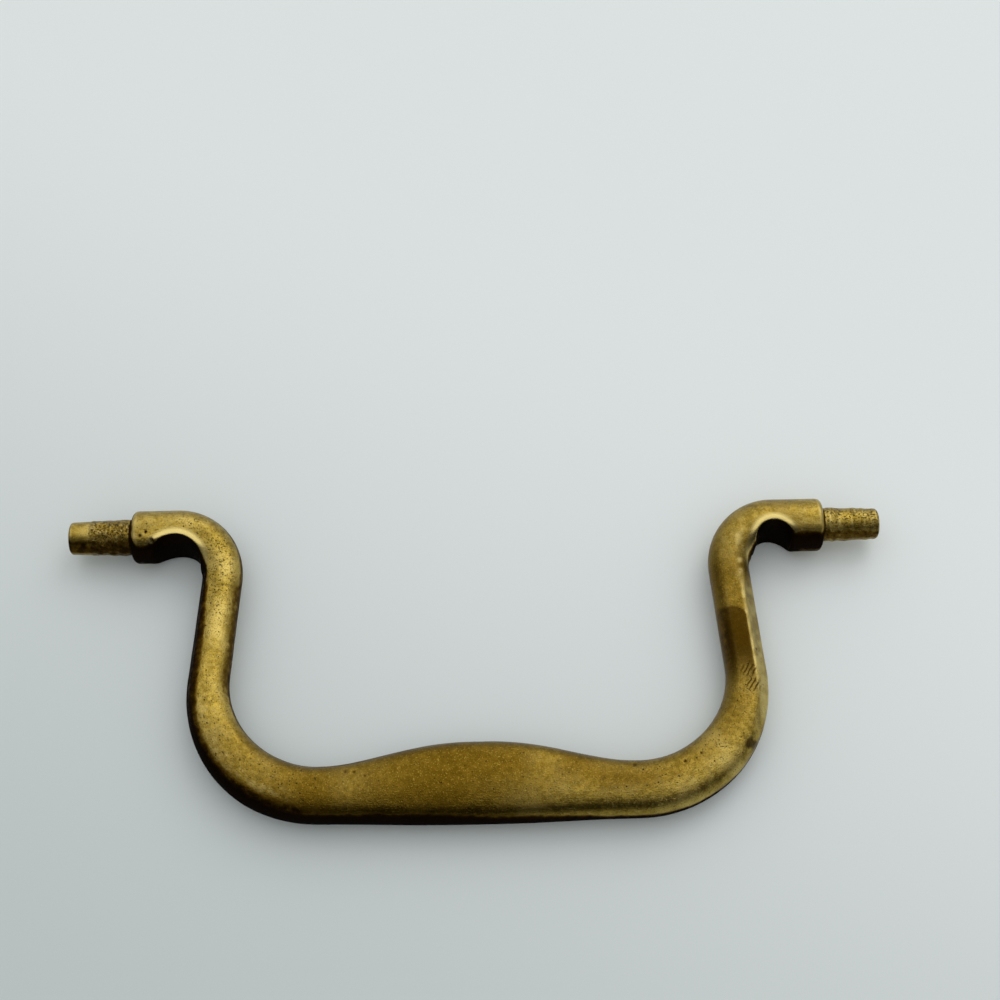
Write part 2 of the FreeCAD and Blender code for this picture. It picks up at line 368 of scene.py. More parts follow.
@dataclass
class SwanNeckBail:
    """The bail: one brass casting with pins, collars, necks, arms and a swelled grip."""

    pin_height: float
    pin_across: float
    collar: Oval = Oval(7.0, 7.0)
    arm: Oval = Oval(5.2, 5.0)
    grip_end: Oval = Oval(7.15, 5.2)
    grip: Oval = Oval(10.35, 5.6)
    neck_x: float = 38.9
    neck_radius: float = 6.0
    splay: float = math.radians(4.2)
    bend_radius: float = 14.3
    grip_drop: float = 35.3
    swell_shift: float = 1.2
    side_turn: float = math.radians(72.0)
    neck_shares: tuple[float, ...] = (0.0, 0.16, 0.5, 0.84, 1.0)
    bend_shares: tuple[float, ...] = (0.0, 0.34, 0.72, 0.93, 1.0)
    swell_shares: tuple[float, ...] = (0.0, 0.19, 0.6, 0.92, 1.0)
    fine_step: float = 0.14
    plain_step: float = 0.24
    around: int = 104
    # Mean distance around the bail, which the width of the file marks is measured along.
    girth: float = 20.0
    blend_passes: int = 30
    rim_passes: int = 7
    soften_passes: int = 12
    left_end: PinEnd = PinEnd(Side.LEFT, 44.8, 53.0, 2.12, 0.35, 50.3, 2.2, 2.27, 2.4, 0.8)
    right_end: PinEnd = PinEnd(Side.RIGHT, 45.5, 53.0, 2.05, 0.6, 50.6, 2.12, 2.14, 2.27, 0.7)
    notches: tuple[Notch, ...] = (
        Notch((-38.9, -4.85), 3.2, 1.1, 4.0),
        Notch((38.85, -3.15), 2.2, 0.5, 4.0),
        Notch((38.3, -5.0), 2.4, 0.3, 4.0),
    )
    facets: tuple[Facet, ...] = (
        Facet(Side.RIGHT, -10.5, -26.0, 3.0, math.radians(141.0), 0.24),
        Facet(Side.RIGHT, -10.5, -23.0, 4.0, math.radians(86.0), 0.16),
        Facet(Side.LEFT, -6.0, -24.0, 3.0, math.radians(156.0), 0.16),
        Facet(Side.LEFT, -4.0, -17.0, 5.0, math.radians(111.0), 0.1),
        Facet(Side.LEFT, 0.5, -0.5, 3.0, math.radians(97.0), 0.24),
        Facet(Side.RIGHT, 0.5, -0.3, 2.5, math.radians(100.0), 0.1),
    )
    pits: tuple[Spot, ...] = (
        Spot(-42.67, -0.73, 0.32, 0.12), Spot(-43.4, -1.2, 0.4, 0.08), Spot(-41.9, -1.8, 0.35, 0.08),
        Spot(27.25, -31.59, 0.36, 0.1), Spot(25.21, -32.57, 0.42, 0.1), Spot(33.7, -30.0, 0.5, 0.06),
        Spot(-16.28, -32.97, 0.4, 0.07), Spot(-15.2, -33.1, 0.36, 0.07), Spot(-13.84, -33.65, 0.3, 0.06),
        Spot(19.05, -32.76, 0.4, 0.12), Spot(35.25, -18.0, 0.3, 0.08),
    )

    def arm_top(self) -> Array:
        """Place in plan where the right neck goes over into the arm."""
        spoke = np.array([math.cos(self.splay), math.sin(self.splay)])
        return np.array([self.neck_x, -self.neck_radius]) - self.neck_radius * spoke

    def blend(self, first: Oval, last: Oval, share: Array) -> Array:
        """Half sizes of sections between two ovals.

        Args:
            first: section where share is 0.
            last: section where share is 1.
            share: one number for each section.

        Returns:
            Rows of half width and half thickness.
        """
        low = np.array([first.width, first.thickness]) / 2.0
        high = np.array([last.width, last.thickness]) / 2.0
        return low + (high - low) * share[:, None]

    def end_run(self, rings: Stations, end: PinEnd) -> None:
        """Adds the rings of one pin and collar, in the order of the bail.

        Args:
            rings: where they go.
            end: which end.
        """
        profile = end.profile(self.collar.width / 2.0, self.neck_x, self.fine_step)
        if end.side is Side.RIGHT:
            profile = profile[-2::-1]
        on_pin = (profile[:, 0] > end.face) | (profile[:, 1] <= end.root_radius)
        zone = np.where(on_pin, Zone.PIN.value, Zone.COLLAR.value)
        centre = np.stack([end.side.value * profile[:, 0], np.zeros(len(profile))], axis=1)
        rings.add(zone, centre, np.array([0.0, 1.0]), profile[:, 1:])

    def arc_run(self, rings: Stations, zone: Zone, centre: Array, turn: tuple[float, float],
                sections: tuple[Oval, Oval], shares: tuple[float, ...]) -> None:
        """Adds the rings of a neck or a bend.

        Args:
            rings: where they go.
            zone: neck or bend.
            centre: centre of the curve in plan.
            turn: first and last angle.
            sections: first and last section.
            shares: course from the first section to the last.
        """
        radius = self.neck_radius if zone is Zone.NECK else self.bend_radius
        step = self.fine_step if zone is Zone.NECK else self.plain_step
        outward = 1.0 if zone is Zone.NECK else -1.0
        along = np.linspace(0.0, 1.0, round(abs(turn[1] - turn[0]) * radius / step) + 1)[1:]
        angle = turn[0] + (turn[1] - turn[0]) * along
        spoke = np.stack([np.cos(angle), np.sin(angle)], axis=1)
        rings.add(zone, centre + radius * spoke, outward * spoke, self.blend(*sections, through(shares, along)))

    def line_run(self, rings: Stations, first: Array, last: Array) -> None:
        """Adds the rings of a straight arm.

        Args:
            rings: where they go.
            first: start in plan.
            last: end in plan.
        """
        length = float(np.hypot(*(last - first)))
        along = np.linspace(0.0, 1.0, round(length / self.plain_step) + 1)[1:]
        heading = (last - first) / length
        lateral = np.array([-heading[1], heading[0]])
        centre = first + (last - first) * along[:, None]
        rings.add(Zone.ARM, centre, lateral, self.blend(self.arm, self.arm, along))

    def rings(self) -> Stations:
        """Rings of the whole bail along its centre line.

        Returns:
            Centres, sideways directions, half sizes and zones.
        """
        made = Stations()
        flip = np.array([-1.0, 1.0])
        neck = np.array([self.neck_x, -self.neck_radius])
        arm_top = self.arm_top()
        bend_y = self.bend_radius - self.grip_drop
        foot_y = bend_y + self.bend_radius * math.sin(self.splay)
        foot = np.array([arm_top[0] + (arm_top[1] - foot_y) * math.tan(self.splay), foot_y])
        bend = np.array([foot[0] - self.bend_radius * math.cos(self.splay), bend_y])
        neck_back = tuple(1.0 - share for share in self.neck_shares[::-1])
        bend_back = tuple(1.0 - share for share in self.bend_shares[::-1])
        self.end_run(made, self.left_end)
        self.arc_run(made, Zone.NECK, neck * flip, (QUARTER, -self.splay),
                     (self.collar, self.arm), self.neck_shares)
        self.line_run(made, arm_top * flip, foot * flip)
        self.arc_run(made, Zone.BEND, bend * flip, (2.0 * QUARTER - self.splay, 3.0 * QUARTER),
                     (self.arm, self.grip_end), self.bend_shares)
        along = np.linspace(-1.0, 1.0, round(2.0 * bend[0] / self.plain_step) + 1)[1:]
        share = through(self.swell_shares, 1.0 - np.abs(along))
        centre = np.stack([bend[0] * along, self.swell_shift * share - self.grip_drop], axis=1)
        made.add(Zone.GRIP, centre, np.array([0.0, 1.0]), self.blend(self.grip_end, self.grip, share))
        self.arc_run(made, Zone.BEND, bend, (3.0 * QUARTER, 4.0 * QUARTER + self.splay),
                     (self.grip_end, self.arm), bend_back)
        self.line_run(made, foot, arm_top)
        self.arc_run(made, Zone.NECK, neck, (2.0 * QUARTER + self.splay, QUARTER),
                     (self.arm, self.collar), neck_back)
        self.end_run(made, self.right_end)
        made.join()
        plain = (made.zone > Zone.COLLAR.value) | (np.abs(made.centre[:, 0]) < self.neck_x + 2.0)
        for _ in range(self.blend_passes):
            beside = (made.half[:-2] + made.half[2:]) / 2.0
            made.half[1:-1] += 0.5 * plain[1:-1, None] * (beside - made.half[1:-1])
        return made

    def sections(self, half: Array) -> tuple[Array, Array]:
        """Four-arc ovals of all rings, from the bottom round.

        Args:
            half: rows of half width and half thickness.

        Returns:
            Sideways places and heights, each with one row for a ring.
        """
        wide, high = half[:, :1], half[:, 1:]
        crown_share = math.tan(self.side_turn / 2.0)
        side_share = math.tan(math.pi / 4.0 - self.side_turn / 2.0)
        crown = (wide - high * crown_share) / (1.0 - crown_share)
        edge = (high - wide * side_share) / (1.0 - side_share)
        crown_turn = QUARTER - self.side_turn
        whole_side = 2.0 * self.side_turn
        turns = np.array([0.0, crown_turn, whole_side, 2.0 * crown_turn, whole_side, crown_turn])
        radii = np.concatenate([0.0 * crown, crown, edge, crown, edge, crown], axis=1)
        ends = np.cumsum(radii * turns, axis=1)
        share = np.linspace(0.0, 1.0, self.around, endpoint=False)
        bearing = np.cumsum(turns) - QUARTER
        slope = np.stack([np.interp(share * row[-1], row, bearing) for row in ends])
        level, rise = np.cos(slope), np.sin(slope)
        on_edge = np.abs(rise) <= math.sin(self.side_turn) + 1e-9
        side = np.where(on_edge, np.sign(level) * (wide - edge) + edge * level, crown * level)
        height = np.where(on_edge, edge * rise, np.sign(rise) * (high - crown) + crown * rise)
        return side, height

    def skin(self, rings: Stations) -> tuple[Array, Array]:
        """Surface of the bail with its notches and filed flats.

        Args:
            rings: the rings along the bail.

        Returns:
            Rings of places in the drawing frame, and how deep each one lies in a notch.
        """
        side, height = self.sections(rings.half)
        for facet in self.facets:
            share = facet.share(rings.centre) * (rings.zone != Zone.PIN.value)
            side, height = facet.cut(side, height, share)
        points = np.empty((*side.shape, 3))
        points[..., :2] = rings.centre[:, None] + rings.lateral[:, None] * side[..., None]
        points[..., 2] = height
        deep = np.full(side.shape, -9.0)
        for notch in self.notches:
            points, inside = notch.cut(points, rings.lateral)
            deep = np.maximum(deep, inside)
        # The rims of the notches are rounded off.
        ease = eased(-0.75, -0.25, deep) * eased(4.5, 1.5, deep)
        for _ in range(self.rim_passes):
            points = points + 0.5 * ease[..., None] * (self.neighbours(points) - points)
        # Filed edges are softened around each ring, most at the collars and not in the notches.
        soft = (0.08 + 0.42 * eased(-7.0, -1.0, rings.centre[:, 1])) * (rings.zone != Zone.PIN.value)
        away = eased(-0.3, -1.0, deep)
        for _ in range(self.soften_passes):
            beside = (np.roll(points, 1, axis=1) + np.roll(points, -1, axis=1)) / 2.0
            points = points + (soft[:, None] * away)[..., None] * (beside - points)
        return points, deep

    def neighbours(self, grid: Array) -> Array:
        """Mean of the four neighbours of each place on the rings.

        Args:
            grid: rings of values.

        Returns:
            The means.
        """
        before = np.concatenate([grid[:1], grid[:-1]])
        after = np.concatenate([grid[1:], grid[-1:]])
        return (before + after + np.roll(grid, 1, axis=1) + np.roll(grid, -1, axis=1)) / 4.0

    def slopes(self, points: Array) -> tuple[Array, Array]:
        """Outward normals and curvature of the rings.

        Args:
            points: rings of places.

        Returns:
            Unit normals, and the curvature, which is positive on ridges and negative in hollows.
        """
        ahead = np.gradient(points, axis=0)
        beside = (np.roll(points, -1, axis=1) - np.roll(points, 1, axis=1)) / 2.0
        normal = np.cross(beside, ahead)
        normal /= np.maximum(np.linalg.norm(normal, axis=-1, keepdims=True), 1e-9)
        turn_ahead = np.gradient(normal, axis=0)
        turn_beside = (np.roll(normal, -1, axis=1) - np.roll(normal, 1, axis=1)) / 2.0
        curve = np.sum(turn_ahead * ahead, axis=-1) / np.maximum(np.sum(ahead * ahead, axis=-1), 1e-4)
        curve += np.sum(turn_beside * beside, axis=-1) / np.maximum(np.sum(beside * beside, axis=-1), 1e-4)
        return normal, curve

    def roughen(self, points: Array, rings: Stations) -> Array:
        """Adds the unevenness of casting and filing.

        Args:
            points: rings of places.
            rings: the rings along the bail.

        Returns:
            The uneven places.
        """
        normal, _ = self.slopes(points)
        lumps = Grain(11)
        on_pin = (rings.zone == Zone.PIN.value)[:, None]
        left = (rings.centre[:, 0] < 0.0)[:, None]
        rough = on_pin & left & (np.abs(rings.centre[:, 0]) < self.left_end.nose)[:, None]
        ridged = on_pin & ~left & (np.abs(rings.centre[:, 0]) < self.right_end.tip - 0.4)[:, None]
        # Each term is a height times lumps of a width; a shift of the places keeps the lumps from lining up.
        wave = 0.03 * lumps.at(points, 7.0) + 0.01 * lumps.at(points + 31.0, 2.4)
        wave = np.where(on_pin, 0.3 * wave, wave) + 0.004 * lumps.at(points + 57.0, 0.9)
        cast = 0.08 * lumps.at(points + 7.0, 0.75) + 0.04 * lumps.at(points, 0.4) - 0.03
        wave = wave + np.where(rough, cast, 0.0)
        # A file went round the right pin, so its lumps are drawn out into hoops.
        hoops = points * np.array([1.0, 0.22, 0.22])
        wave = wave + np.where(ridged, 0.09 * lumps.at(hoops + 3.0, 0.55) - 0.04, 0.0)
        for pit in self.pits:
            wave = wave - pit.depth * pit.share(points)
        return points + normal * wave[..., None]

    def build(self) -> bpy.types.Object:
        """Makes the bail's mesh in the row frame.

        Returns:
            The piece, linked to the scene.
        """
        rings = self.rings()
        points, deep = self.skin(rings)
        points = self.roughen(points, rings)
        count = len(points)
        ends = np.array([[points[0, 0, 0], 0.0, 0.0], [points[-1, 0, 0], 0.0, 0.0]])
        verts = np.concatenate([points.reshape(-1, 3), ends])
        ring = np.arange(count - 1)[:, None] * self.around
        spot = np.arange(self.around)
        beyond = (spot + 1) % self.around
        later = ring + self.around
        quads = np.stack([ring + spot, ring + beyond, later + beyond, later + spot], axis=-1)
        first, last, final = count * self.around, count * self.around + 1, (count - 1) * self.around
        caps = [(first, int(b), int(a)) for a, b in zip(spot, beyond)]
        caps += [(last, final + int(a), final + int(b)) for a, b in zip(spot, beyond)]
        mesh = bpy.data.meshes.new("bail_skin")
        mesh.from_pydata((self.laid_down(verts) * MM).tolist(), [], quads.reshape(-1, 4).tolist() + caps)
        mesh.shade_smooth()
        for name, values in WearMap(self, points, deep, rings).shares().items():
            layer = mesh.attributes.new(name, "FLOAT", "POINT")
            layer.data.foreach_set("value", np.concatenate([values.ravel(), values[0, :1], values[-1, :1]]))
        uv = np.zeros((len(mesh.loops), 2))
        corner_rows = np.arange(count - 1)[:, None, None] + np.array([0, 0, 1, 1])
        corner_cols = spot[None, :, None] + np.array([0, 1, 1, 0])
        uv[:quads.size, 0] = np.broadcast_to(rings.run()[corner_rows], quads.shape).ravel()
        uv[:quads.size, 1] = np.broadcast_to(corner_cols * self.girth / self.around, quads.shape).ravel()
        mesh.uv_layers.new(name="flow").data.foreach_set("uv", uv.ravel())
        return placed("bail_skin", mesh)

    def laid_down(self, points: Array) -> Array:
        """Places in the row frame, with the grip leaning down to the surface.

        Args:
            points: places in the drawing frame.

        Returns:
            Places in the row frame, in millimetres.
        """
        reach = self.grip_drop - self.swell_shift
        lean = math.asin((self.collar.thickness - self.grip.thickness) / 2.0 / reach)
        turned = points.copy()
        turned[:, 1] = points[:, 1] * math.cos(lean) - points[:, 2] * math.sin(lean) + self.pin_across
        turned[:, 2] = points[:, 1] * math.sin(lean) + points[:, 2] * math.cos(lean) + self.pin_height
        return turned


@dataclass
class WearMap:
    """Where the bail has grime and painted shade, wear and painted highlights, pits and stains, as shares from 0
    to 1.

    Across goes from left to right along the pin axis, and along from the grip (negative) to the pin axis (0).
    Up, ahead and beside say how far a place faces up, away from the pins and right, from -1 to 1.
    """

    NAMES: ClassVar[tuple[str, ...]] = ("tarnish", "wear", "pitted", "stain", "patina", "scored")

    bail: SwanNeckBail
    points: Array
    deep: Array
    rings: Stations
    pin_reflection_span: tuple[float, float] = (46.6, 48.4)
    streak_x: float = 34.6
    patch_x: float = 32.5
    upper_arm: float = -19.0
    bend_stain: Spot = Spot(33.6, -30.3, 1.0)
    scratches: tuple[Spot, ...] = (Spot(34.0, -20.9, 1.3), Spot(34.4, -22.8, 1.3))
    # Length along the bail from the left tip, and the share of patina there.
    patina_course: tuple[tuple[float, float], ...] = (
        (0.0, 0.25), (2.6, 0.2), (3.0, 0.5), (7.5, 0.55), (8.2, 0.25), (14.0, 0.22), (18.0, 0.3), (24.0, 0.1),
        (36.0, 0.05), (42.0, 0.15), (50.0, 0.55), (60.0, 0.8), (80.0, 0.8), (92.0, 0.76), (100.0, 0.7),
        (112.0, 0.58), (122.0, 0.6), (126.0, 0.78), (137.0, 0.78), (141.0, 0.5), (147.0, 0.38), (153.0, 0.35),
        (154.0, 0.4), (161.0, 0.25),
    )

    def __post_init__(self) -> None:
        """Works out what the wear is judged by at each point."""
        bail, points, rings = self.bail, self.points, self.rings
        self.lumps = Grain(23)
        self.normal, self.curve = bail.slopes(points)
        for _ in range(2):
            self.curve = 0.5 * self.curve + 0.5 * bail.neighbours(self.curve)
        self.across, self.along, self.up = points[..., 0], points[..., 1], self.normal[..., 2]
        level = np.maximum(np.hypot(self.normal[..., 0], self.normal[..., 1]), 1e-6)
        self.ahead, self.beside = -self.normal[..., 1] / level, self.normal[..., 0] / level
        self.front = eased(0.0, 0.75, self.ahead)
        self.left = self.across < 0.0
        self.on_pin, self.on_collar, self.on_bend = (
            rings.zone[:, None] == zone.value for zone in (Zone.PIN, Zone.COLLAR, Zone.BEND))
        # Lumpy shift that keeps the borders of the grime and painted shade from being straight.
        self.uneven = 0.08 * self.lumps.at(points, 4.0) + 0.04 * self.lumps.at(points + 17.0, 1.0)
        # Sideways place, from -1 on the outer flank to 1 on the inner one.
        offset = np.sum((points[..., :2] - rings.centre[:, None]) * rings.lateral[:, None], axis=-1)
        self.offset = offset / rings.half[:, :1] + 0.5 * self.uneven
        # Distance to the right of the right arm's centre line, and the flat that was filed along its outside.
        top_x, top_y = bail.arm_top()
        self.outer = self.across - top_x + (self.along - top_y) * math.tan(bail.splay)
        run = eased(-7.0, -10.0, self.along) * eased(-29.0, -26.0, self.along)
        self.filed = eased(0.55, 1.0, self.outer) * run
        # Right half of the grip, where light is painted on the faces that turn away from the pins, and the lower
        # arms with the bends.
        self.painted_light_right = eased(-5.0, 20.0, self.across) * eased(-22.0, -27.0, self.along)
        self.lower = eased(-20.0, -27.0, self.along)
        # Upper rim of a notch: rubbed, and with a painted highlight where it faces up.
        rim = eased(-1.1, -0.45, self.deep) * eased(0.5, 0.2, self.deep)
        self.lip = rim * eased(0.3, 0.55, self.up)

    def shares(self) -> dict[str, Array]:
        """Works out one number for each point, by attribute name."""
        return {name: getattr(self, name)() for name in self.NAMES}

    def left_side_grime_and_shade(self) -> Array:
        """Brown grime and painted shade on the sides of the left arm and bend, broad on the outer flank.

        Returns:
            Grime and painted shade for each point.
        """
        start = 0.12 + 0.16 * eased(-15.0, -8.0, self.along) + 0.08 * self.lower
        outer = 0.46 * eased(0.0, 0.4, (-self.offset - start) * (1.0 - 0.25 * self.lower))
        inner = 0.36 * eased(0.45, 0.95, self.offset) * eased(-29.0, -20.0, self.along)
        reach = eased(-12.0, -24.0, self.across) * eased(-5.0, -8.5, self.along)
        return np.maximum(outer, inner) * reach * (self.up > 0.0)

    def flank(self) -> Array:
        """Grime and painted shade on the steep flanks, most on those that turn away from the pins.

        Returns:
            Grime and painted shade for each point.
        """
        # Painted shade and grime: steeper faces get more, and more again where a face turns away from the pins
        # or, on the left, turns left; less where light is painted on the right half of the grip, and less on the
        # filed flat.
        shaded = eased(8.0, -12.0, self.across) * np.maximum(-self.beside, 0.0)
        steep = 0.85 + 0.1 * self.ahead - 0.15 * self.beside + 0.04 * shaded
        steep = steep - 0.42 * self.front * self.painted_light_right - 0.6 * self.filed
        most = 0.38 - 0.14 * eased(-12.0, 24.0, self.across) + 0.32 * self.front + 0.12 * shaded
        flank = most * eased(0.0, 0.42, steep - self.up - self.uneven)
        flank = flank * (1.0 - 0.45 * eased(-0.45, -0.95, self.up + self.uneven))
        flank = np.maximum(flank, self.left_side_grime_and_shade())
        # Less grime and painted shade on faces that turn down, outside the notches.
        rubbed = 1.0 - 0.65 * eased(0.25, -0.15, self.up) * eased(-0.8, -1.6, self.deep)
        # Near the collars the grime and painted shade is darker on faces that turn away from the pins and
        # lighter on the others; on the pins it is weaker.
        nearness = eased(-4.0, 2.0, np.abs(self.across) - self.bail.neck_x)
        nearness = nearness * eased(-5.0, -2.0, self.along)
        collared = np.minimum((0.8 + 0.6 * self.front) * rubbed * flank, 1.0)
        return np.where(self.on_pin, 0.65 * rubbed * flank, flank + nearness * (collared - flank))

    def tarnish(self) -> Array:
        """Grime and painted shade on the flanks, darkening inside the notches, grime in hollows and at the roots
        of the pins, and a painted dark reflection along the left pin.

        Returns:
            Grime, painted shade and painted reflection for each point.
        """
        reach = np.abs(self.across)
        face = np.where(self.left, self.bail.left_end.face, self.bail.right_end.face)
        seam = eased(0.35, 0.05, np.abs(reach - face - 0.1)) * self.on_pin
        hollow = eased(-0.35, -1.6, self.curve) * (self.deep < -1.6) * ~self.on_pin
        in_notch = eased(-0.5, 0.4, self.deep) * eased(0.6, 0.15, self.up)
        # Painted dark reflection along the left pin, on faces that turn towards the grip's side.
        band = np.maximum(eased(0.35, 0.6, self.up), eased(*self.pin_reflection_span[::-1], reach))
        band = band * self.front * eased(0.97, 0.68, self.up) * (self.on_pin & self.left)
        band = band * (0.7 + 0.3 * self.lumps.at(self.points, 0.6))
        return np.maximum.reduce([self.flank(), 0.6 * seam, 0.8 * hollow, in_notch, 0.55 * band])

    def wear(self) -> Array:
        """Bright metal: rubbed ridges and notch rims with painted highlights where they face up, the filed flat,
        one streak, and painted highlight specks on the left bend.

        Returns:
            Wear and painted highlight for each point.
        """
        points, along = self.points, self.along
        broken = eased(-0.5, 0.5, self.lumps.at(points + 41.0, 0.8))
        # Wear and painted highlight on ridges that face up.
        ridge = eased(0.6, 1.25, self.curve) * eased(0.1, 0.5, self.up)
        crest = ridge * np.where(self.on_collar, 0.5, np.maximum(self.filed, 0.35)) * (0.35 + 0.65 * broken)
        wander = 0.4 * self.lumps.at(points + 5.0, 1.3)
        streak = eased(0.8, 0.1, np.abs(self.across - self.streak_x - 0.09 * along + wander))
        streak = streak * eased(-9.5, -6.0, along) * eased(-0.5, -3.0, along)
        streak = streak * eased(0.0, 0.3, self.up)
        # Painted highlight specks on the left bend.
        bend_highlight_specks = eased(0.05, 0.55, self.lumps.at(points + 61.0, 0.42)) * eased(-0.75, -0.5, self.offset)
        bend_highlight_specks = bend_highlight_specks * eased(0.15, -0.25, self.offset) * eased(-22.0, -26.0, self.across)
        bend_highlight_specks = bend_highlight_specks * self.lower * (self.up > 0.0)
        return np.maximum.reduce([
            np.where(self.on_pin, 0.3 * ridge, crest), self.lip, 0.6 * streak * broken,
            0.55 * self.filed * (0.3 + 0.7 * broken), 0.25 * bend_highlight_specks,
        ])

    def pitted(self) -> Array:
        """How thickly casting pits lie, most on the pins and the top of the left arm.

        Returns:
            Pits for each point.
        """
        left, on_pin, on_collar = self.left, self.on_pin, self.on_collar
        upper = self.along > self.upper_arm
        arm_top = eased(-17.0, -9.0, self.along) * eased(0.3, 0.7, self.up)
        pitted = np.select(
            [on_pin & left, on_pin & ~left, on_collar & left, on_collar & ~left, left & upper, ~left & upper,
             self.on_bend],
            [0.95, 0.85, 0.3, 0.15, 0.25 + 0.35 * arm_top, 0.22, 0.42], 0.24)
        smooth_nose = on_pin & (self.across < -self.bail.left_end.nose)
        return np.where(smooth_nose, 0.05, pitted) * (1.0 - self.lip)

    def stain(self) -> Array:
        """Brown stains: a patch on the right arm, a spot on the right bend and soil in the larger pits.

        Returns:
            Stain for each point.
        """
        points, across = self.points, self.across
        edge = self.along + 0.7 * self.lumps.at(points, 1.8) + 0.25 * self.lumps.at(points, 0.6)
        edge = edge + 0.25 * (across - self.patch_x) ** 2
        patch = eased(-11.6, -12.5, edge) * eased(-25.5, -16.5, edge) * eased(28.5, 29.5, across)
        patch = patch * eased(1.0, 0.7, self.outer) * eased(0.0, 0.3, self.up)
        spot = self.bend_stain.share(points + 0.35 * self.lumps.at(points, 0.7)[..., None])
        return np.maximum.reduce([patch, spot, *(0.8 * pit.share(points) for pit in self.bail.pits)])

    def patina(self) -> Array:
        """Brown patina, deepest on the grip and the right arm, with less of it where light is painted on the
        right half of the grip.

        Returns:
            Patina for each point.
        """
        course = np.interp(self.rings.run(), *np.array(self.patina_course).T)[:, None]
        patina = course + 0.18 * self.lumps.at(self.points, 4.0) - 0.2 * self.filed
        # Painted light: less patina on the faces of the grip's right half that turn away from the pins.
        patina = patina - 0.48 * self.painted_light_right * eased(-0.15, 0.3, -self.normal[..., 1])
        return np.clip(patina, 0.0, 1.0)

    def scored(self) -> Array:
        """Share of the short file scratches on the right arm."""
        return np.maximum.reduce([mark.share(self.points) for mark in self.scratches])


def linear(code: str) -> tuple[float, float, float, float]:
    """Turns an sRGB hex colour into linear light.

    Args:
        code: six hex digits.

    Returns:
        Red, green, blue and an alpha of 1.
    """
    parts = [int(code[i:i + 2], 16) / 255.0 for i in (0, 2, 4)]
    return (*[c / 12.92 if c <= 0.04045 else ((c + 0.055) / 1.055) ** 2.4 for c in parts], 1.0)


def add_node(tree: Tree, kind: str, settings: dict | None = None, inputs: dict | tuple = (),
             output: int | str = 0) -> Socket | None:
    """Adds a node with its settings and links.

    Args:
        tree: where it goes.
        kind: Blender's name for the kind of node, after ShaderNode.
        settings: properties to set.
        inputs: value or output socket for each input, by name or in order.
        output: which output to give back, by name or number.

    Returns:
        The output socket, or None for a node that has no outputs.
    """
    node = tree.nodes.new("ShaderNode" + kind)
    for name, value in (settings or {}).items():
        setattr(node, name, value)
    for name, value in (inputs if isinstance(inputs, dict) else dict(enumerate(inputs))).items():
        if isinstance(value, Socket):
            tree.links.new(value, node.inputs[name])
        else:
            node.inputs[name].default_value = value
    return node.outputs[output] if node.outputs else None


def emptied(holder: bpy.types.Material | bpy.types.World) -> Tree:
    """Clears the nodes of a new material or world.

    Args:
        holder: whose nodes.

    Returns:
        Its empty node tree.
    """
    holder.use_nodes = True
    holder.node_tree.nodes.clear()
    return holder.node_tree


@dataclass(frozen=True)
class Coat:
    """One layer of colour over those before it: none where its pattern is low, most of it where that is high."""

    pattern: str
    low: float
    high: float
    most: float
    tone: str | Socket
    course: tuple[str, dict] = EASED


